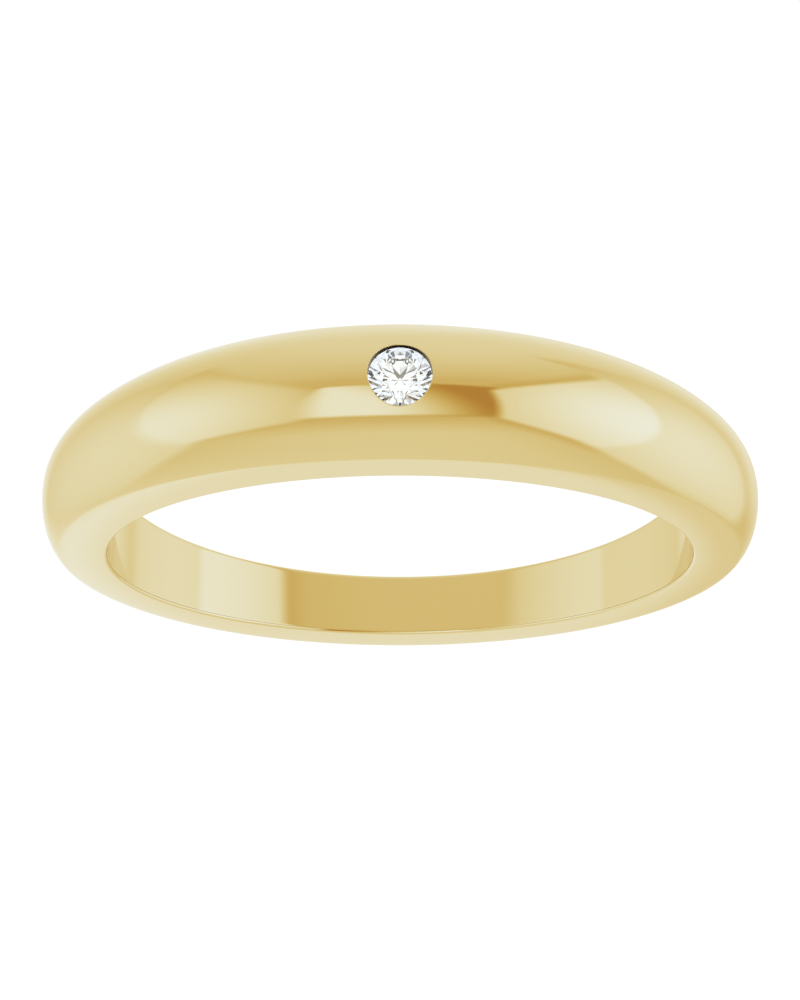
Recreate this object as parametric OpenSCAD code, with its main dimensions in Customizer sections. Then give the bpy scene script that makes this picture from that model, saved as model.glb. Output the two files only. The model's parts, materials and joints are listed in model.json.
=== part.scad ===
// A gold dome ring with one small round brilliant set flush in its head.
// It lies on one of its flat side faces. The head points along -Y.

/* [Finger hole] */
// Inside diameter
finger_d = 17.35; // [15:0.05:20]

/* [Band] */
// Width between the side faces at the finger hole, at the head
head_width = 3.8; // [3.6:0.05:4.6]
// Width between the side faces at the finger hole, at the back
back_width = 1.95; // [1.7:0.05:2.6]
// Metal over the finger at the head
head_rise = 3.1; // [2.8:0.05:3.4]
// Metal over the finger halfway round
side_rise = 1.9; // [1.75:0.05:2.3]
// Metal over the finger at the back
back_rise = 2.15; // [1.95:0.05:2.4]
// Depth of the flat side faces, from the finger hole to the dome, at the head
head_flat = 1.6; // [1.3:0.05:1.7]
// The same depth halfway round
side_flat = 1.15; // [0.9:0.05:1.3]
// The same depth at the back
back_flat = 1.35; // [1.1:0.05:1.5]

/* [Dome] */
// How much of the dome's full half-width is left at the head: less gives a sharper corner
head_cut = 0.6; // [0.5:0.05:0.9]
// How much of the dome's full half-width is left from halfway round to the back
back_cut = 0.98; // [0.9:0.01:0.98]
// Squareness of the dome halfway round: 2 is an ellipse, as at the head
side_square = 2.2; // [2:0.1:3]
// Squareness of the dome at the back
back_square = 3.4; // [2.5:0.1:3.6]

/* [Stone] */
// Diameter at the girdle
stone_d = 1.8; // [1.6:0.05:1.85]
// Depth of the girdle below the top of the dome
stone_sink = 0.5; // [0.38:0.01:0.6]
// Width of the table as a share of the diameter
table_share = 0.56; // [0.52:0.01:0.62]
// Slope of the crown's main facets
crown_angle = 34.5; // [32:0.5:36]
// Slope of the pavilion's main facets
pavilion_angle = 41; // [40:0.5:43]
// Thickness of the girdle
girdle = 0.05; // [0.03:0.01:0.08]
// How far out the star facets reach, from the table at 0 to the girdle at 1
star_share = 0.5; // [0.45:0.05:0.6]
// How near the point the lower girdle facets come, as a share of the radius
lower_share = 0.24; // [0.2:0.02:0.3]

/* [Seat] */
// Clearance between the stone and the metal
seat_gap = 0.04; // [0.03:0.01:0.06]
// How far the burnished rim reaches over the girdle
rim_lap = 0.015; // [0.01:0.005:0.02]
// Diameter of the drilled hole under the stone
drill_d = 1; // [0.6:0.1:1.2]

/* [Hidden] */

// Sections round the ring, and strips from one side face over the dome to the other
stations = 96;
strips = 16;
// Share of its length by which the outermost strip runs past the side face before that is cut
overrun = 0.15;
// How fast the dome's corner softens away from the head
soften = 1.5;

finger_r = finger_d / 2;
crest_r = finger_r + head_rise;

// The side faces are planes: half the width between them is mid_half on the hole's axis,
// and it grows by taper times the distance towards the head
mid_half = (head_width + back_width) / 4;
taper = (head_width - back_width) / (4 * finger_r);
lean = atan(taper);

// Lying down, the lower side face is on the ground and the middle of the ring's length is over the origin
lift = mid_half * cos(lean);
forward = (head_rise - back_rise) / 2 * cos(lean);

stone_r = stone_d / 2;
table_r = stone_r * table_share;
crown_h = (stone_r - table_r) * tan(crown_angle);
pavilion_h = stone_r * tan(pavilion_angle);
star_r = table_r + (stone_r - table_r) * star_share;
lower_r = stone_r * lower_share;
// Eight main facets, and a point halfway between each two
mains = 8;
main_step = 360 / mains;

rim_r = stone_r - rim_lap;
pocket_r = stone_r + seat_gap;
drill_r = drill_d / 2;
rim_foot = -stone_sink + seat_gap;
cone_top = -stone_sink - girdle - seat_gap;
cone_foot = cone_top - (pocket_r - drill_r) * tan(pavilion_angle);
// Extra length by which a cut passes the metal
past = 1;

// A size that runs smoothly round the ring, with a counted from the head
function along(at_head, at_side, at_back, a) =
    at_side + (at_head - at_back) / 2 * cos(a) + ((at_head + at_back) / 2 - at_side) * pow(cos(a), 2);

function half_width(r, a) = mid_half + taper * r * cos(a);

// One point of the dome: a is the angle from the head, and s runs over the dome,
// from -1 at the lower side face to 1 at the upper one
function dome_point(a, s) =
    let (rise = along(head_rise, side_rise, back_rise, a))
    let (flat = along(head_flat, side_flat, back_flat, a))
    let (n = along(2, side_square, back_square, a))
    let (cut = back_cut - (back_cut - head_cut) * pow(max(0, cos(a)), soften))
    let (flank = pow(1 - pow(cut, n), 1 / n))
    let (height = (rise - flat) / (1 - flank))
    let (turn = s * atan2(pow(cut, n / 2), pow(flank, n / 2)))
    let (r = finger_r + rise - height + height * pow(cos(turn), 2 / n))
    let (z = half_width(r, a) / cut * sign(s) * pow(abs(sin(turn)), 2 / n))
    [r * sin(a), -r * cos(a), z];

// The same point, with the corners moved on along their strips so that the side faces can be cut there
function rough_point(a, k) =
    let (here = dome_point(a, 2 * k / strips - 1))
    let (inner = dome_point(a, k == 0 ? 2 / strips - 1 : 1 - 2 / strips))
    k > 0 && k < strips ? here : here + (here - inner) * overrun;

// The dome all round, over a solid disc that is still a little too wide
module blank() {
    row = strips + 1;
    points = [
        for (i = [0 : stations - 1])
            for (k = [0 : strips])
                rough_point(360 * i / stations, k)
    ];
    skin = [
        for (i = [0 : stations - 1])
            for (k = [0 : strips - 1])
                let (here = i * row + k)
                let (next = (i + 1) % stations * row + k)
                each [[here, here + 1, next], [next, here + 1, next + 1]]
    ];
    lower_face = [for (i = [0 : stations - 1]) i * row];
    upper_face = [for (i = [stations - 1 : -1 : 0]) i * row + strips];
    polyhedron(points, concat(skin, [lower_face, upper_face]), convexity = 4);
}

// The wedge between the planes of the two side faces
module between_sides() {
    reach = 2 * finger_r;
    wide = mid_half + taper * reach;
    narrow = mid_half - taper * reach;
    rotate([90, 0, 90])
        linear_extrude(2 * reach, center = true)
            polygon([[-reach, -wide], [reach, -narrow], [reach, narrow], [-reach, wide]]);
}

// What the drill and the setting burr take out, with the top of the dome at z = 0
module seat() {
    rotate_extrude($fn = 96)
        polygon([
            [0, past],
            [rim_r, past],
            [rim_r, rim_foot],
            [pocket_r, rim_foot],
            [pocket_r, cone_top],
            [drill_r, cone_foot],
            [drill_r, -head_rise - past],
            [0, -head_rise - past]
        ]);
}

// Puts what stands on the top of the dome, with +Z outwards, at the head
module at_head() {
    translate([0, -crest_r, 0])
        rotate([90, 0, 0])
            children();
}

// Lays the upright-axis ring down on its lower side face
module lay_down() {
    translate([0, forward, lift])
        rotate([-lean, 0, 0])
            children();
}

function on_circle(r, step, z) = [r * cos(step * main_step), r * sin(step * main_step), z];

// Height on a main facet, above or below the girdle, at radius r halfway between two mains
function main_rise(r, angle) = (stone_r - r * cos(main_step / 2)) * tan(angle);

// Round brilliant with its girdle's upper edge at z = 0: table, stars, mains, upper and lower girdle facets
module brilliant() {
    table = [for (i = [0 : mains - 1]) on_circle(table_r, i, crown_h)];
    stars = [for (i = [0 : mains - 1]) on_circle(star_r, i + 0.5, main_rise(star_r, crown_angle))];
    upper = [for (i = [0 : 2 * mains - 1]) on_circle(stone_r, i / 2, 0)];
    under = [for (i = [0 : 2 * mains - 1]) on_circle(stone_r, i / 2, -girdle)];
    lower = [
        for (i = [0 : mains - 1])
            on_circle(lower_r, i + 0.5, -girdle - main_rise(lower_r, pavilion_angle))
    ];
    tip = [[0, 0, -girdle - pavilion_h]];

    // First index of each ring of points
    star_0 = mains;
    upper_0 = star_0 + mains;
    under_0 = upper_0 + 2 * mains;
    lower_0 = under_0 + 2 * mains;
    tip_0 = lower_0 + mains;

    crown = [
        for (i = [0 : mains - 1])
            let (after = (i + 1) % mains)
            let (before = (i + mains - 1) % mains)
            let (g = [for (k = [0 : 2]) upper_0 + (2 * i + k) % (2 * mains)])
            each [
                [i, after, star_0 + i],
                [i, star_0 + i, g[0], star_0 + before],
                [star_0 + i, g[1], g[0]],
                [star_0 + i, g[2], g[1]]
            ]
    ];
    edge = [
        for (i = [0 : 2 * mains - 1])
            let (after = (i + 1) % (2 * mains))
            [upper_0 + i, upper_0 + after, under_0 + after, under_0 + i]
    ];
    pavilion = [
        for (i = [0 : mains - 1])
            let (before = (i + mains - 1) % mains)
            let (g = [for (k = [0 : 2]) under_0 + (2 * i + k) % (2 * mains)])
            each [
                [g[0], lower_0 + i, tip_0, lower_0 + before],
                [g[0], g[1], lower_0 + i],
                [g[1], g[2], lower_0 + i]
            ]
    ];
    top = [[for (i = [mains - 1 : -1 : 0]) i]];
    polyhedron(concat(table, stars, upper, under, lower, tip), concat(top, crown, edge, pavilion));
}

module band() {
    color([0.86, 0.75, 0.47])
        lay_down()
            difference() {
                intersection() {
                    blank();
                    between_sides();
                }
                cylinder(r = finger_r, h = 2 * head_width, center = true, $fn = 180);
                at_head()
                    seat();
            }
}

module stone() {
    color([0.9, 0.94, 0.98])
        lay_down()
            at_head()
                translate([0, 0, -stone_sink])
                    brilliant();
}

band();
stone();
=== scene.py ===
"""A polished gold dome ring with one small brilliant set flush in its head.

It lies on its side in soft studio light.
"""

import json
import math
from typing import NamedTuple

import bmesh
import bpy
import numpy as np
from mathutils import Matrix, Vector
from mathutils.geometry import intersect_line_plane


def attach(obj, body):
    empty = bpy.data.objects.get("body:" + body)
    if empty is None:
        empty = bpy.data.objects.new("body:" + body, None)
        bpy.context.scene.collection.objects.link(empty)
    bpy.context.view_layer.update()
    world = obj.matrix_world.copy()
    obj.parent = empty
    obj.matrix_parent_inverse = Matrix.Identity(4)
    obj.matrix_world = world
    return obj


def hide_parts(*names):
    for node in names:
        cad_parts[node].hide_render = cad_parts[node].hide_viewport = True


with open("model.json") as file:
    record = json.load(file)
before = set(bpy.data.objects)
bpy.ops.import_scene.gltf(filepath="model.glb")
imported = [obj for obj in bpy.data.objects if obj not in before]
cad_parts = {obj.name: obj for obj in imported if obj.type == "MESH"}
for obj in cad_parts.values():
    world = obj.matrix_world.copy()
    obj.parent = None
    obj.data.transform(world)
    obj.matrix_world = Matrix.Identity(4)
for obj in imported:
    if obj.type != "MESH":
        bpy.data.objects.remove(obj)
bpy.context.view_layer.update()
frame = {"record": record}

MM = 0.001

# The ring's axis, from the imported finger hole: sizes in millimetres, angles in radians
BORE = next(m for m in frame["record"]["mounts"] if m["name"] == "finger_bore")
FINGER_R = BORE["dims"]["r_mm"]
CENTRE = Vector(BORE["pos_m"]) / MM
LEAN = math.atan2(BORE["axis"][1], BORE["axis"][2])
TAPER = math.tan(LEAN)
MID_HALF = CENTRE.z / math.cos(LEAN)

# Sizes that change round the ring, at the head, halfway round and at the back: the metal over the finger,
# the depth of the flat side faces, and the squareness of the dome, where 2 is an ellipse
RISE = (3.1, 1.9, 2.15)
SIDE_FLAT = (1.6, 1.15, 1.35)
SQUARENESS = (2.0, 2.2, 3.4)
# How far the soft corner between dome and side face reaches over the dome
DOME_SOFTNESS = (0.02, 0.35, 0.35)
# Polishing has left the side faces a little crowned, but not at the head: how far the crown reaches in
# from the corner at the head and elsewhere, and how fast that changes
HEAD_CROWNED = 0.06
CROWNED = 1.0
CROWN_FADE = 5
# How much of the dome's full half-width is left at the head and at the back, and how fast that changes
HEAD_CUT = 0.6
BACK_CUT = 0.98
CUT_FADE = 1.5
# Radius of the eased edges of the finger hole
BORE_SOFTNESS = 0.1
CREST_R = FINGER_R + RISE[0]

# The stone, with its crown outwards and its girdle's upper edge at height 0
STONE_R = 0.9
TABLE_R = 0.56 * STONE_R
CROWN_ANGLE = math.radians(34.5)
PAVILION_ANGLE = math.radians(41)
GIRDLE = 0.05
STAR_SHARE = 0.5
LOWER_R = 0.24 * STONE_R
GIRDLE_POINTS = 96
# The stone's turn about its axis in eighths, which turns a side of its table to the ring's edge
STONE_TURN = 0.5
# Faces that differ by less than this are one facet
FACET_FLATNESS = math.radians(0.3)

# The stone's seat, with depths below the top of the dome
STONE_SINK = 0.5
SEAT_GAP = 0.04
RIM_R = STONE_R - 0.015
RIM_SOFTNESS = 0.03
RIM_FOOT = STONE_SINK - SEAT_GAP
POCKET_R = STONE_R + SEAT_GAP
CONE_TOP = STONE_SINK + GIRDLE + SEAT_GAP
DRILL_R = 0.5
CONE_FOOT = CONE_TOP + (POCKET_R - DRILL_R) * math.tan(PAVILION_ANGLE)
SEAT_PROFILE = ((RIM_R, RIM_FOOT), (POCKET_R, RIM_FOOT), (POCKET_R, CONE_TOP), (DRILL_R, CONE_FOOT))

# How finely the band is divided: stations round the ring, crowded towards the head, and lines along one
# half-section
STATIONS = 360
CROWDING = 0.4
DOME_LINES = 28
CORNER_LINES = 16
BORE_EDGE_LINES = 6
BORE_LINES = 18
SIDE_STOPS = (0.03, 0.3, 0.7, 0.97)
# The windows round the stone's hole, in stations and lines to each side of the middle, and the rings in
# them, from 1 at the window's edge to 0 at the hole
WINDOW_STATIONS = 13
WINDOW_LINES = 16
WINDOW_RINGS = (0.8, 0.62, 0.45, 0.3, 0.17, 0.07, 0.0)
# Steps over the rounded rim of the stone's hole, and over that of the drill hole
RIM_STEPS = (0.2, 0.4, 0.6, 0.8, 1.0)
DRILL_STEPS = (0.0, 0.25, 0.5, 0.75)
# Where the angle between two faces is larger, the edge stays sharp
SHARP_ANGLE = math.radians(30)

# Points to measure the length of the dome's outline by, rounds of guessing for the dome's distance from the
# axis, and what counts as a small step or difference
FINE_POINTS = 600
ROUNDS = 20
TINY = 1e-4
# How far the soft corner is pulled to its tip, from the dome and from the side face
DOME_PULL = 0.6
SIDE_PULL = 0.5
# The pull that makes a quarter circle
CIRCLE_PULL = 0.5523
# An eighth of a turn, which is the step between two main facets of the stone
EIGHTH = math.pi / 4


def to_row(points):
    """From the ring's own upright-axis frame in millimetres to the row frame in metres."""
    points = np.asarray(points, float)
    x, y, z = points[..., 0], points[..., 1], points[..., 2]
    c, s = math.cos(LEAN), math.sin(LEAN)
    return MM * np.stack([x, y * c + z * s + CENTRE.y, z * c - y * s + CENTRE.z], -1)


def along(sizes, angle):
    """A size that runs smoothly round the ring."""
    head, side, back = sizes
    c = np.cos(angle)
    return side + (head - back) / 2 * c + ((head + back) / 2 - side) * c * c


def fading(at_head, elsewhere, speed, angle):
    """A size that changes from its value at the head to the one halfway round and beyond."""
    return elsewhere - (elsewhere - at_head) * np.maximum(0, np.cos(angle)) ** speed


def half_width(r, angle):
    """Half the width between the side faces, at a distance from the ring's axis."""
    return MID_HALF + TAPER * r * np.cos(angle)


def dome_law(angle):
    """The dome's squareness, cut, flank and height at each angle from the head."""
    n = along(SQUARENESS, angle)
    cut = fading(HEAD_CUT, BACK_CUT, CUT_FADE, angle)
    flank = (1 - cut ** n) ** (1 / n)
    height = (along(RISE, angle) - along(SIDE_FLAT, angle)) / (1 - flank)
    return n, cut, flank, height


def dome_curve(angle, s):
    """Radius and height of the upper half of the dome, with s from 0 at the crest to 1 at the side face."""
    n, cut, flank, height = dome_law(angle)
    turn = s * np.arctan2(cut ** (n / 2), flank ** (n / 2))
    r = FINGER_R + along(RISE, angle) - height + height * np.cos(turn) ** (2 / n)
    z = half_width(r, angle) / cut * np.sin(turn) ** (2 / n)
    return r, z


def dome_step(r, angle, z):
    """A better guess at the dome's distance from the ring's axis, from a first one."""
    n, cut, flank, height = dome_law(angle)
    side = np.clip(np.abs(z) * cut / half_width(r, angle), 0, 1) ** n
    return FINGER_R + along(RISE, angle) - height + height * (1 - side) ** (1 / n)


def dome_radius(angle, z):
    """The dome's distance from the ring's axis, by the angle from the head and the height."""
    r = FINGER_R + along(RISE, angle)
    for _ in range(ROUNDS):
        r = dome_step(r, angle, z)
    return r


def dome_depth(x, z):
    """The distance of the dome from the plane through the ring's axis, at a place seen from the head."""
    r = np.full(np.shape(x), CREST_R)
    for _ in range(ROUNDS):
        r = dome_step(r, np.arcsin(x / r), z)
    return np.sqrt(r * r - x * x)


def bore_depth(x, z):
    """The same distance of the finger hole's wall."""
    return np.sqrt(FINGER_R ** 2 - x * x)


def bezier(p0, p1, p2, p3, steps):
    """Points on a cubic curve, for all stations at once."""
    return [
        (1 - t) ** 3 * p0 + 3 * t * (1 - t) ** 2 * p1 + 3 * t * t * (1 - t) * p2 + t ** 3 * p3
        for t in np.linspace(0, 1, steps + 1)
    ]


def dome_outline(angles):
    """Evenly spaced points from the crest to where the soft corner starts, and the direction there."""
    column = angles[:, None]
    fine = np.linspace(0, 1, FINE_POINTS)[None, :]
    r, z = dome_curve(column, fine)
    steps = np.hypot(np.diff(r, axis=1), np.diff(z, axis=1))
    length = np.concatenate([np.zeros((len(angles), 1)), np.cumsum(steps, axis=1)], axis=1)
    end = length[:, -1] - along(DOME_SOFTNESS, angles)
    stops = end[:, None] * np.linspace(0, 1, DOME_LINES + 1)[None, :]
    s = np.array([np.interp(stops[i], length[i], fine[0]) for i in range(len(angles))])
    dome_r, dome_z = dome_curve(column, s)
    outline = [np.stack([dome_r[:, j], dome_z[:, j]], -1) for j in range(DOME_LINES + 1)]
    before = np.stack(dome_curve(angles, s[:, -1] - TINY), -1)
    way = outline[-1] - before
    return outline, way / np.linalg.norm(way, axis=1)[:, None]


def soft_corner(angles, start, way):
    """Points from the dome's last one over the rounded corner to where the side face is flat. The corner
    stays inside the place where the tangents of the two meet."""
    slope = TAPER * np.cos(angles)
    gap = MID_HALF + slope * start[:, 0] - start[:, 1]
    reach = gap / (way[:, 1] - slope * way[:, 0])
    meet = start + way * reach[:, None]
    stop_r = dome_curve(angles, 1.0)[0] - fading(HEAD_CROWNED, CROWNED, CROWN_FADE, angles)
    stop = np.stack([stop_r, half_width(stop_r, angles)], -1)
    pulls = start + (meet - start) * DOME_PULL, stop + (meet - stop) * SIDE_PULL
    return bezier(start, *pulls, stop, CORNER_LINES)[1:]


def side_and_bore(angles, stop):
    """Points over the flat side face and the eased edge of the finger hole to the middle of its wall."""
    edge_r = np.full(len(angles), FINGER_R + BORE_SOFTNESS)
    edge = np.stack([edge_r, half_width(edge_r, angles)], -1)
    lip = np.stack([np.full(len(angles), FINGER_R), half_width(FINGER_R, angles)], -1)
    wall = lip - [0, BORE_SOFTNESS]
    pulls = edge + (lip - edge) * CIRCLE_PULL, wall + (lip - wall) * CIRCLE_PULL
    points = [stop + (edge - stop) * t for t in SIDE_STOPS]
    points += bezier(edge, *pulls, wall, BORE_EDGE_LINES)
    points += [wall * [1, 1 - k / BORE_LINES] for k in range(1, BORE_LINES + 1)]
    return points


def half_sections(angles):
    """For each station, the outline from the crest over the dome, the corner and the side face to the middle
    of the finger hole, as (radius, height) pairs."""
    outline, way = dome_outline(angles)
    outline += soft_corner(angles, outline[-1], way)
    outline += side_and_bore(angles, outline[-1])
    return np.stack(outline, 1)


class Grid:
    """The band's surface without its seat: stations round the ring, and lines round its section."""

    def __init__(self):
        turns = np.linspace(0, 2 * math.pi, STATIONS, endpoint=False)
        angles = turns - CROWDING * np.sin(turns)
        half = half_sections(angles)
        section = np.concatenate([half, half[:, -2:0:-1] * [1, -1]], 1)
        self.lines = section.shape[1]
        self.middle = half.shape[1] - 1
        a = angles[:, None]
        r, z = section[..., 0], section[..., 1]
        self.points = [p for row in np.stack([r * np.sin(a), -r * np.cos(a), z], -1) for p in row]

    def at(self, i, j):
        """The number of the point at a station and a line."""
        return i % STATIONS * self.lines + j % self.lines

    def in_window(self, i, j):
        """Whether the cell after a station and a line lies in the window outside or in the one inside."""
        i = (i + STATIONS // 2) % STATIONS - STATIONS // 2
        near = [(j - m + self.lines // 2) % self.lines - self.lines // 2 for m in (0, self.middle)]
        in_lines = any(-WINDOW_LINES <= k < WINDOW_LINES for k in near)
        return -WINDOW_STATIONS <= i < WINDOW_STATIONS and in_lines

    def faces(self):
        """All the cells outside the windows, as numbers of points."""
        return [
            (self.at(i, j), self.at(i, j + 1), self.at(i + 1, j + 1), self.at(i + 1, j))
            for i in range(STATIONS)
            for j in range(self.lines)
            if not self.in_window(i, j)
        ]


def window_loop():
    """Steps (station, line) round a window, counter-clockwise from its right, and the matching angles on a
    circle round the stone's hole."""
    w, h = WINDOW_STATIONS, WINDOW_LINES
    loop = [(w, j) for j in range(0, h)]
    loop += [(i, h) for i in range(w, -w, -1)]
    loop += [(-w, j) for j in range(h, -h, -1)]
    loop += [(i, -h) for i in range(-w, w)]
    loop += [(w, j) for j in range(-h, 0)]
    angles = []
    for i, j in loop:
        if abs(i) == w:
            turn = EIGHTH * j / h
            angles.append(turn if i > 0 else math.pi - turn)
        else:
            turn = 2 * EIGHTH - EIGHTH * i / w
            angles.append(turn if j > 0 else -turn)
    return loop, np.array(angles)


def add_ring(points, flat, depth):
    """Adds points at places seen from the head, at a depth from the plane through the ring's axis."""
    first = len(points)
    points.extend(np.stack([flat[:, 0], -depth * np.ones(len(flat)), flat[:, 1]], -1))
    return list(range(first, len(points)))


def add_patch(points, outer, circle, surface):
    """Rings on a surface, from a window's edge in to a circle."""
    rim = np.array([points[k] for k in outer])[:, [0, 2]]
    rings = [outer]
    for t in WINDOW_RINGS:
        flat = circle + (rim - circle) * t
        rings.append(add_ring(points, flat, surface(*flat.T)))
    return rings


def add_seat(points, outside, inside, circle):
    """Rings from the window in the dome over the rim, past the stone and down the drill hole to the window
    in the finger hole. Also gives the places in that list of the first ring on the wall over the stone's
    edge and of the first on the drill hole's wall."""
    rings = add_patch(points, outside, circle * (RIM_R + RIM_SOFTNESS), dome_depth)
    top = dome_depth(*(circle * (RIM_R + RIM_SOFTNESS)).T)
    lip = dome_depth(*(circle * RIM_R).T)
    for t in RIM_STEPS:
        depth = (1 - t) ** 2 * top + 2 * t * (1 - t) * lip + t * t * (lip - RIM_SOFTNESS)
        rings.append(add_ring(points, circle * (RIM_R + RIM_SOFTNESS * (1 - t) ** 2), depth))
    wall = len(rings) - 1
    for radius, below in SEAT_PROFILE:
        rings.append(add_ring(points, circle * radius, CREST_R - below))
    drill = len(rings) - 1
    opening = bore_depth(*(circle * DRILL_R).T)
    for t in DRILL_STEPS:
        depth = opening + RIM_SOFTNESS * (1 - t) ** 2
        rings.append(add_ring(points, circle * (DRILL_R + RIM_SOFTNESS * t * t), depth))
    rings += add_patch(points, inside, circle * (DRILL_R + RIM_SOFTNESS), bore_depth)[::-1]
    return rings, wall, drill


def band_mesh():
    """Points and faces of the whole band, with the seat's hole running through the head, and which of the
    faces are the wall over the stone's edge and the seat under it."""
    grid = Grid()
    points, faces = grid.points, grid.faces()
    loop, spin = window_loop()
    outside = [grid.at(i, j) for i, j in loop]
    inside = [grid.at(i, grid.middle - j) for i, j in loop]
    rings, wall, drill = add_seat(points, outside, inside, np.stack([np.cos(spin), np.sin(spin)], -1))
    first, count = len(faces), len(loop)
    for outer, inner in zip(rings, rings[1:]):
        for k in range(count):
            after = (k + 1) % count
            faces.append((outer[k], outer[after], inner[after], inner[k]))
    rim_wall = range(first + wall * count, first + (wall + 1) * count)
    return points, faces, rim_wall, range(rim_wall.stop, first + drill * count)


def drop_loose_points(points, faces):
    """Leaves out the points inside the windows, which no face uses."""
    used = sorted({k for face in faces for k in face})
    place = {k: n for n, k in enumerate(used)}
    return [points[k] for k in used], [tuple(place[k] for k in face) for face in faces]


def make_object(name, vertices, faces, *materials):
    """An object from points in the ring's own frame, with its faces turned outwards."""
    mesh = bpy.data.meshes.new(name)
    mesh.from_pydata([tuple(v) for v in to_row(vertices)], [], faces)
    mesh.validate()
    bm = bmesh.new()
    bm.from_mesh(mesh)
    bmesh.ops.recalc_face_normals(bm, faces=bm.faces)
    bm.to_mesh(mesh)
    bm.free()
    for material in materials:
        mesh.materials.append(material)
    made = bpy.data.objects.new(name, mesh)
    bpy.context.collection.objects.link(made)
    return made


def dome_normals(places):
    """The dome's exact outward directions at places on it, and whether each place is on it."""
    x, y, z = places.T
    r = np.hypot(x, y)
    angle = np.arctan2(x, -y)
    on_dome = np.abs(dome_radius(angle, z) - r) < TINY
    turn = (dome_radius(angle + TINY, z) - dome_radius(angle - TINY, z)) / (2 * TINY * r)
    rise = (dome_radius(angle, z + TINY) - dome_radius(angle, z - TINY)) / (2 * TINY)
    out = np.stack([np.sin(angle), -np.cos(angle), 0 * z], -1)
    onward = np.stack([np.cos(angle), np.sin(angle), 0 * z], -1)
    normals = out - onward * turn[:, None] - np.array([0, 0, 1]) * rise[:, None]
    return normals / np.linalg.norm(normals, axis=1)[:, None], on_dome


def shade_dome(mesh, places):
    """Gives the dome its exact normals, so that what it mirrors runs smoothly over the mesh."""
    normals, on_dome = dome_normals(places)
    in_row = (to_row(normals) - to_row(np.zeros(3))) / MM
    corners = [vertex for face in mesh.polygons for vertex in face.vertices]
    in_seat = {vertex for face in mesh.polygons if face.material_index for vertex in face.vertices}
    automatic = (0.0, 0.0, 0.0)
    chosen = [in_row[v] if on_dome[v] and v not in in_seat else automatic for v in corners]
    mesh.normals_split_custom_set(chosen)


def make_band(gold, wall_shade, seat_finish):
    """The whole band in polished gold, with matt gold painted dark as shade on the wall over the stone's
    edge, and its own finish under the stone.
    """
    points, faces, rim_wall, seat = band_mesh()
    points, faces = drop_loose_points(points, faces)
    band = make_object("gold_band", points, faces, gold, wall_shade, seat_finish)
    # The second material paints the shade of the stone's hole onto the wall over its edge
    for finish, part in ((1, rim_wall), (2, seat)):
        for k in part:
            band.data.polygons[k].material_index = finish
    band.data.shade_smooth()
    band.data.set_sharp_from_angle(angle=SHARP_ANGLE)
    shade_dome(band.data, np.array(points))
    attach(band, "root")
    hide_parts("band")


def on_circle(r, eighths, z):
    """A point of the stone, by its place round the stone's axis in eighths of a turn."""
    turn = (eighths + STONE_TURN) * EIGHTH
    return Vector((r * math.cos(turn), r * math.sin(turn), z))


def main_rise(r, slope):
    """Height of a main facet over the girdle, at a radius halfway between two mains."""
    return (STONE_R - r * math.cos(EIGHTH / 2)) * math.tan(slope)


def girdle_edge(eighths, inner, z):
    """Where the facet through an inner point and the girdle's two nearest corners meets the round girdle."""
    start = math.floor(2 * eighths) / 2
    corners = [on_circle(STONE_R, start + half, z) for half in (0, 0.5)]
    normal = (corners[0] - inner).cross(corners[1] - inner)
    foot = on_circle(STONE_R, eighths, 0)
    return intersect_line_plane(foot, foot + Vector((0, 0, 1)), inner, normal)


def facet_corners():
    """All the corners of a round brilliant's facets, with its girdle made round."""
    crown_h = (STONE_R - TABLE_R) * math.tan(CROWN_ANGLE)
    pavilion_h = STONE_R * math.tan(PAVILION_ANGLE)
    star_r = TABLE_R + (STONE_R - TABLE_R) * STAR_SHARE
    star_z = main_rise(star_r, CROWN_ANGLE)
    lower_z = -GIRDLE - main_rise(LOWER_R, PAVILION_ANGLE)
    table = [on_circle(TABLE_R, k, crown_h) for k in range(8)]
    stars = [on_circle(star_r, k + 0.5, star_z) for k in range(8)]
    lowers = [on_circle(LOWER_R, k + 0.5, lower_z) for k in range(8)]
    corners = table + stars + lowers + [Vector((0, 0, -GIRDLE - pavilion_h))]
    for k in range(GIRDLE_POINTS):
        eighths = 8 * k / GIRDLE_POINTS
        corners.append(girdle_edge(eighths, stars[int(eighths)], 0))
        corners.append(girdle_edge(eighths, lowers[int(eighths)], -GIRDLE))
    return corners


def make_stone(material):
    """A round brilliant: the hull of its facets' corners, set with its crown outwards at the head."""
    bm = bmesh.new()
    for corner in facet_corners():
        bm.verts.new(corner)
    bmesh.ops.convex_hull(bm, input=bm.verts)
    bmesh.ops.dissolve_limit(bm, angle_limit=FACET_FLATNESS, verts=bm.verts, edges=bm.edges)
    bm.verts.index_update()
    vertices = [(v.co.x, -(CREST_R - STONE_SINK) - v.co.z, v.co.y) for v in bm.verts]
    faces = [[v.index for v in f.verts] for f in bm.faces]
    bm.free()
    stone = make_object("brilliant", vertices, faces, material)
    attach(stone, "root")
    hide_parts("stone")


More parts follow.
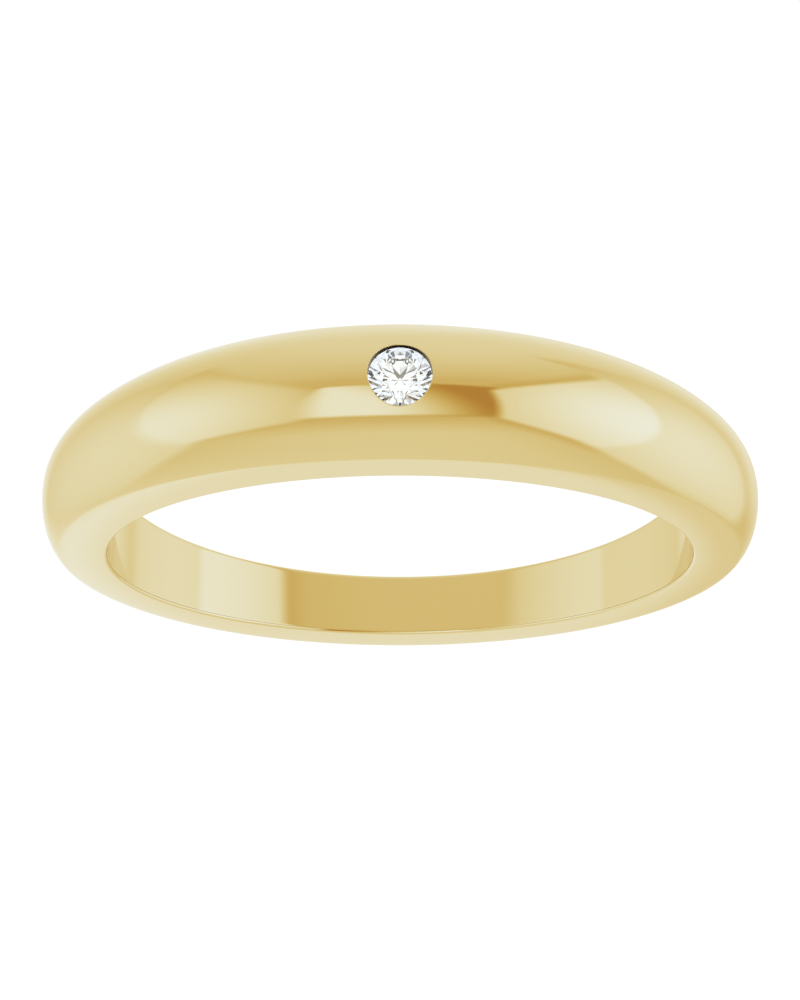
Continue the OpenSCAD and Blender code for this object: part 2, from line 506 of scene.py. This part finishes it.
class Nodes:
    """Short calls for building a node tree."""

    def __init__(self, tree):
        self.tree = tree
        tree.nodes.clear()

    def add(self, kind, **settings):
        node = self.tree.nodes.new(kind)
        for key, value in settings.items():
            setattr(node, key, value)
        return node

    def feed(self, socket, value):
        """Links an output to a socket, or sets the socket to a plain value."""
        if isinstance(value, bpy.types.NodeSocket):
            self.tree.links.new(value, socket)
        else:
            socket.default_value = value

    def math(self, operation, *values):
        node = self.add("ShaderNodeMath", operation=operation)
        for socket, value in zip(node.inputs, values):
            self.feed(socket, value)
        return node.outputs[0]

    def dot(self, vector, direction):
        node = self.add("ShaderNodeVectorMath", operation="DOT_PRODUCT")
        self.feed(node.inputs[0], vector)
        self.feed(node.inputs[1], tuple(direction))
        return node.outputs["Value"]

    def ramp(self, value, start, end, to_start=0.0, to_end=1.0):
        """A smooth change from to_start to to_end, while the value goes from start to end."""
        node = self.add("ShaderNodeMapRange", interpolation_type="SMOOTHSTEP")
        for socket, item in zip(node.inputs, (value, start, end, to_start, to_end)):
            self.feed(socket, item)
        return node.outputs[0]

    def blend(self, share, low, high):
        """The number low where share is 0, high where it is 1."""
        node = self.add("ShaderNodeMix", data_type="FLOAT")
        for socket, value in zip(node.inputs[:1] + node.inputs[2:4], (share, low, high)):
            self.feed(socket, value)
        return node.outputs[0]

    def tone(self, share, low, high):
        """The colour low where share is 0, high where it is 1."""
        node = self.add("ShaderNodeMix", data_type="RGBA")
        for name, value in zip(("Factor", "A", "B"), (share, low, high)):
            self.feed(node.inputs[name], value)
        return node.outputs["Result"]

    def colour(self, *channels):
        node = self.add("ShaderNodeCombineColor")
        for socket, value in zip(node.inputs, channels):
            self.feed(socket, value)
        return node.outputs[0]

    def place(self):
        """The place on the object."""
        return self.add("ShaderNodeTexCoord").outputs["Object"]

    def noise(self, scale):
        """Soft spots all over the object, as many to a metre as the scale says."""
        node = self.add("ShaderNodeTexNoise")
        self.feed(node.inputs["Vector"], self.place())
        self.feed(node.inputs["Scale"], scale)
        return node.outputs["Fac"]


def toward(azimuth, elevation):
    """The direction to a place in the studio: azimuth 0 is the camera's side, 90 is +X; degrees."""
    a, e = math.radians(azimuth), math.radians(elevation)
    return Vector((math.sin(a) * math.cos(e), -math.cos(a) * math.cos(e), math.sin(e)))


# The brightness of the studio's walls, and what is added towards the floor, the ceiling and the rear
WALLS = 0.59
TO_FLOOR = 0.24
TO_CEILING = 0.18
TO_REAR = 0.12
# How closely that gathers at the rear, and the changes in it: each towards an (azimuth, elevation), between
# two cosines of the angle from there, and how much more is added
REAR_FOCUS = 2.0
REAR_CHANGES = (
    ((-90, -40), 0.4, 0.6, 0.15),
    ((90, 0), -0.14, -0.04, 0.13),
    ((90, 0), 0.03, 0.16, 0.11),
)


class Panel(NamedTuple):
    """A big soft panel, as seen from the ring: corners in order, each (azimuth, elevation), how soft its
    edges are, in all or after each corner, the brightest direction, the brightness there, and how much it
    falls off to the side."""
    corners: tuple
    softness: float | tuple
    brightest: tuple
    level: float
    fall: float


PANELS = {
    "right_rear": Panel(
        corners=((-150, 12), (-136, 33), (-86, 50), (-76, -63)),
        softness=(0.12, 0.04, 0.06, 0.08),
        brightest=(-103, 7), level=0.99, fall=0.6,
    ),
    "left_rear": Panel(
        corners=((154, -14), (134, 32), (87, 43), (93, -51)),
        softness=0.06,
        brightest=(107, 10), level=0.91, fall=0.46,
    ),
    "right": Panel(
        corners=((-95, 47), (-43, 50), (-29, 9), (-84, -46)),
        softness=0.04,
        brightest=(-87, 8), level=1.1, fall=0.69,
    ),
    "left": Panel(
        corners=((92, 39), (43, 54), (26, 11), (91, -53)),
        softness=(0.05, 0.1, 0.1, 0.07),
        brightest=(89, 12), level=1.03, fall=0.74,
    ),
}
# The card over the camera: corners, edge softness, its darkest and brightest parts, and where it changes
# over, as the sine of the angle from its -X edge
CARD = ((-58, 36), (53, 47), (25, 7), (-31, 5))
CARD_SOFTNESS = 0.05
CARD_TONES = (0.28, 1.01)
CARD_CHANGE = (0.25, 0.78)

# The frames of the panels and the card shade the wall round them: whose outline, the brightness there, how
# far out, and how strongly
SHADES = (
    (("right", "right_rear"), 0.3, 0.58, 0.14),
    (("left", "left_rear"), 0.67, 0.66, 0.44),
    (("card",), 0.57, 0.4, 1.0),
    (("right",), 0.42, 0.15, 0.5),
    (("left",), 0.45, 0.08, 0.3),
    (("card",), 0.3, 0.06, 0.55),
)


def outline_of(front, rear=None):
    """The corners of the card or a panel, or of two panels that share an edge."""
    corners = CARD if front == "card" else PANELS[front].corners
    return corners[::-1] + PANELS[rear].corners[1::-1] if rear else corners


def edge_planes(corners):
    """Normals of the planes through the ring and each edge of a panel, pointing into the panel."""
    ways = [toward(*c) for c in corners]
    inwards = sum(ways, Vector())
    planes = []
    for here, after in zip(ways, ways[1:] + ways[:1]):
        normal = here.cross(after).normalized()
        planes.append(normal if normal.dot(inwards) > 0 else -normal)
    return planes


def panel_share(n, way, corners, softness, margin=0.0):
    """1 inside a panel, 0 outside it."""
    share = 1.0
    for plane, soft in zip(edge_planes(corners), np.broadcast_to(softness, len(corners))):
        side = n.ramp(n.dot(way, plane), -soft - margin, soft - margin)
        share = n.math("MULTIPLY", side, share)
    return share


def wall_brightness(n, way):
    """The brightness of the studio's walls, floor and ceiling."""
    up = n.dot(way, (0, 0, 1))
    below = n.math("MAXIMUM", n.math("MULTIPLY", up, -1.0), 0.0)
    above = n.math("MAXIMUM", up, 0.0)
    behind = n.math("POWER", n.math("MAXIMUM", n.dot(way, (0, 1, 0)), 0.0), REAR_FOCUS)
    rear = TO_REAR
    for place, start, end, added in REAR_CHANGES:
        rear = n.math("ADD", n.ramp(n.dot(way, toward(*place)), start, end, 0, added), rear)
    g = n.math("MULTIPLY_ADD", below, TO_FLOOR, WALLS)
    g = n.math("MULTIPLY_ADD", above, TO_CEILING, g)
    return n.math("MULTIPLY_ADD", behind, rear, g)


def studio_brightness(n, way):
    """The brightness of the studio in every direction, as the polished metal mirrors it."""
    g = wall_brightness(n, way)
    for names, brightness, width, strength in SHADES:
        near = panel_share(n, way, outline_of(*names), width / 2, width / 2)
        g = n.blend(n.math("MULTIPLY", near, strength), g, n.math("MINIMUM", g, brightness))
    card = n.ramp(n.dot(way, edge_planes(CARD)[3]), *CARD_CHANGE, *CARD_TONES)
    g = n.blend(panel_share(n, way, CARD, CARD_SOFTNESS), g, card)
    for panel in PANELS.values():
        facing = n.dot(way, toward(*panel.brightest))
        value = n.math("MULTIPLY_ADD", facing, panel.fall, panel.level - panel.fall)
        g = n.blend(panel_share(n, way, panel.corners, panel.softness), g, value)
    return g


# What the polished metal mirrors is warm: its green is the studio's brightness, and its red and blue are a
# power of that, times a factor, plus an offset
RED = (0.48, 0.938, 0.0)
BLUE = (2.8, 1.05, 0.05)
# What the stone gathers: the dullest and the whitest grey, between which brightnesses of the studio it
# changes, two dim patches beside the camera by azimuth and elevation, their inner and outer radius in
# degrees, their grey, and a cool tint
STONE_GREYS = (0.6, 1.25)
STONE_CHANGE = (0.25, 0.62)
DIM_PATCHES = ((-11, 6), (11, 6))
PATCH_RADII = (4.5, 6.5)
PATCH_GREY = 0.25
COOL = (0.94, 1.0, 1.05)
# What the camera and the floor get
WHITE = (1.0, 1.0, 1.0, 1.0)


def mirrored_colour(n, g):
    """The warm colour that the polished metal mirrors."""
    red, blue = (
        n.math("MULTIPLY_ADD", n.math("POWER", g, power), factor, offset)
        for power, factor, offset in (RED, BLUE)
    )
    return n.colour(red, g, blue)


def light_through_stone(n, way, g):
    """The colour that the stone's facets gather from each direction."""
    value = n.ramp(g, *STONE_CHANGE, *STONE_GREYS)
    inner, outer = (math.cos(math.radians(r)) for r in PATCH_RADII)
    for patch in DIM_PATCHES:
        value = n.blend(n.ramp(n.dot(way, toward(*patch)), outer, inner), value, PATCH_GREY)
    return n.colour(*(n.math("MULTIPLY", value, tint) for tint in COOL))


def make_studio():
    """The light: plain white for the eye and the floor, and the panels for what metal and stone mirror."""
    world = bpy.data.worlds.new("studio")
    bpy.context.scene.world = world
    world.use_nodes = True
    n = Nodes(world.node_tree)
    way = n.add("ShaderNodeTexCoord").outputs["Generated"]
    ray = n.add("ShaderNodeLightPath").outputs
    g = studio_brightness(n, way)
    seen = n.tone(ray["Is Transmission Ray"], mirrored_colour(n, g), light_through_stone(n, way, g))
    plain = n.math("MAXIMUM", ray["Is Camera Ray"], ray["Is Diffuse Ray"])
    background = n.add("ShaderNodeBackground")
    n.feed(background.inputs["Color"], n.tone(plain, seen, WHITE))
    output = n.add("ShaderNodeOutputWorld")
    n.feed(output.inputs["Surface"], background.outputs[0])


# The two tones of each material, the spots to a metre of its noise, and the range of its roughness. Most of
# the noise lies between these two values
SPREAD = (0.3, 0.7)
GOLD_TONES = ((0.865, 0.75, 0.465, 1.0), (0.855, 0.75, 0.475, 1.0))
GOLD_SPOTS = 150.0
GOLD_ROUGHNESS = (0.055, 0.08)
# Polishing marks: how many to a metre, how strong, and how deep in metres
MARKS = 4000.0
MARKS_STRENGTH = 0.02
MARKS_DEPTH = 0.00001

# The wall over the stone's edge is painted dark as shade, near black low in the hole, dim matt gold higher
# up
WALL_SHADE_TONES = ((0.012, 0.007, 0.001, 1.0), (0.5, 0.4, 0.24, 1.0))
SEAT_TONES = ((0.74, 0.77, 0.81, 1.0), (0.86, 0.88, 0.9, 1.0))
MATT_SPOTS = 3000.0
MATT_ROUGHNESS = (0.45, 0.6)
MATT_GLOSS = 0.1
# Heights between which the painted shade on the wall over the stone's edge, near black where it lies
# lowest, gives way to dim matt gold, and how far that change wavers, in millimetres
SHADE_FADE = (1.3, 1.75)
SHADE_WAVER = 0.1

DIAMOND_TONES = ((1.0, 1.0, 1.0, 1.0), (0.985, 0.99, 1.0, 1.0))
DIAMOND_CLOUDS = 1500.0
DIAMOND_IOR = 2.417

FLOOR_GREYS = (0.05, 0.07)
FLOOR_CLOUDS = 3.0


def new_material(name):
    """A material of one principled shader. Also gives its nodes and the shader's sockets."""
    material = bpy.data.materials.new(name)
    material.use_nodes = True
    n = Nodes(material.node_tree)
    shader = n.add("ShaderNodeBsdfPrincipled")
    output = n.add("ShaderNodeOutputMaterial")
    n.feed(output.inputs["Surface"], shader.outputs[0])
    return material, n, shader.inputs


def polished_gold():
    """Pale yellow gold: a mirror polish whose haze and tone drift a little over the surface."""
    material, n, shader = new_material("polished_gold")
    drift = n.noise(GOLD_SPOTS)
    n.feed(shader["Base Color"], n.tone(drift, *GOLD_TONES))
    shader["Metallic"].default_value = 1.0
    n.feed(shader["Roughness"], n.ramp(drift, *SPREAD, *GOLD_ROUGHNESS))
    bump = n.add("ShaderNodeBump")
    bump.inputs["Strength"].default_value = MARKS_STRENGTH
    bump.inputs["Distance"].default_value = MARKS_DEPTH
    n.feed(bump.inputs["Height"], n.noise(MARKS))
    n.feed(shader["Normal"], bump.outputs[0])
    return material


def matt_metal(name, tones, share_of):
    """A matt surface with a fine mottle, which stains the seat and wavers the painted shade on the wall. A
    function of the mottle gives the share that blends its two tones.
    """
    material, n, shader = new_material(name)
    mottle = n.noise(MATT_SPOTS)
    n.feed(shader["Base Color"], n.tone(share_of(n, mottle), *tones))
    n.feed(shader["Roughness"], n.ramp(mottle, *SPREAD, *MATT_ROUGHNESS))
    shader["Specular IOR Level"].default_value = MATT_GLOSS
    return material


def stained_wall():
    """The wall over the stone's edge: matt gold with painted shade, almost black where it lies lowest."""
    def shade_by_height(n, mottle):
        # Painted shade: the lower a place lies in the stone's hole, the darker
        height = n.math("MULTIPLY_ADD", mottle, SHADE_WAVER, n.dot(n.place(), (0, 0, 1 / MM)))
        return n.ramp(height, *SHADE_FADE)
    return matt_metal("stained_wall", WALL_SHADE_TONES, shade_by_height)


def white_seat():
    """The metal under the stone, matt and whitened."""
    def by_stain(n, mottle):
        return mottle
    return matt_metal("whitened_seat", SEAT_TONES, by_stain)


def clear_diamond():
    """Colourless diamond with the faintest cloud in it."""
    material, n, shader = new_material("clear_diamond")
    n.feed(shader["Base Color"], n.tone(n.noise(DIAMOND_CLOUDS), *DIAMOND_TONES))
    shader["Transmission Weight"].default_value = 1.0
    shader["IOR"].default_value = DIAMOND_IOR
    shader["Roughness"].default_value = 0.0
    return material


def white_paper():
    """White paper that glows, so that it stays as pale as the studio behind it."""
    material = bpy.data.materials.new("white_floor")
    material.use_nodes = True
    n = Nodes(material.node_tree)
    value = n.ramp(n.noise(FLOOR_CLOUDS), 0.0, 1.0, *FLOOR_GREYS)
    paper = n.add("ShaderNodeBsdfDiffuse")
    n.feed(paper.inputs["Color"], n.colour(value, value, value))
    glow = n.add("ShaderNodeEmission")
    both = n.add("ShaderNodeAddShader")
    n.feed(both.inputs[0], paper.outputs[0])
    n.feed(both.inputs[1], glow.outputs[0])
    output = n.add("ShaderNodeOutputMaterial")
    n.feed(output.inputs["Surface"], both.outputs[0])
    return material


# The floor: its radius, sides and height in metres
FLOOR_R = 1.0
FLOOR_SIDES = 64
FLOOR_Z = -0.00002


def make_floor(material):
    """A plain white floor just under the ring, which neither the metal nor the stone mirrors."""
    turns = [2 * math.pi * k / FLOOR_SIDES for k in range(FLOOR_SIDES)]
    edge = [(FLOOR_R * math.cos(turn), FLOOR_R * math.sin(turn), FLOOR_Z) for turn in turns]
    mesh = bpy.data.meshes.new("floor")
    mesh.from_pydata(edge, [], [list(range(FLOOR_SIDES))])
    mesh.materials.append(material)
    floor = bpy.data.objects.new("floor", mesh)
    bpy.context.collection.objects.link(floor)
    floor.visible_glossy = False
    floor.visible_transmission = False


# The camera: distance from the middle of the ring in millimetres, its elevation over the ring's middle
# plane, the nearest it sees in metres, and the width of its sensor in millimetres
CAMERA_DISTANCE = 120.0
CAMERA_OVER_PLANE = math.radians(19.25)
NEAREST = 0.001
SENSOR = 36.0
# By the picture's own pixels: its height, the lens, and how far under its middle the ring's middle lies
PICTURE_HEIGHT = 1000
FOCAL_PIXELS = 4025.0
MIDDLE_BELOW = 15.1


def make_camera():
    """The view of the reference: from above the head, and rolled by half a turn, so that the head is at the
    top."""
    data = bpy.data.cameras.new("camera")
    data.sensor_width = SENSOR
    data.lens = SENSOR * FOCAL_PIXELS / PICTURE_HEIGHT
    data.clip_start = NEAREST
    camera = bpy.data.objects.new("camera", data)
    bpy.context.collection.objects.link(camera)
    back = toward(0, math.degrees(CAMERA_OVER_PLANE + LEAN))
    upright = Vector((0, back.z, -back.y))
    place = CENTRE + back * CAMERA_DISTANCE
    aim = CENTRE - upright * (MIDDLE_BELOW / FOCAL_PIXELS * CAMERA_DISTANCE)
    camera.location = place * MM
    look = (aim - place).to_track_quat("-Z", "Y").to_matrix().to_4x4()
    camera.rotation_euler = (look @ Matrix.Rotation(math.pi, 4, "Z")).to_euler()
    bpy.context.scene.camera = camera


# How often light may bounce in all, and how often it may be mirrored or pass through
BOUNCES = 32
MIRROR_BOUNCES = 24


def allow_many_bounces(cycles):
    """Light goes to and fro many times between the stone's facets and round the inside of the band."""
    cycles.max_bounces = BOUNCES
    cycles.glossy_bounces = MIRROR_BOUNCES
    cycles.transmission_bounces = MIRROR_BOUNCES


# The second material paints the shade of the stone's hole onto the wall over its edge
make_band(polished_gold(), stained_wall(), white_seat())
make_stone(clear_diamond())
make_floor(white_paper())
make_studio()
make_camera()
bpy.context.scene.view_settings.view_transform = "Standard"
allow_many_bounces(bpy.context.scene.cycles)
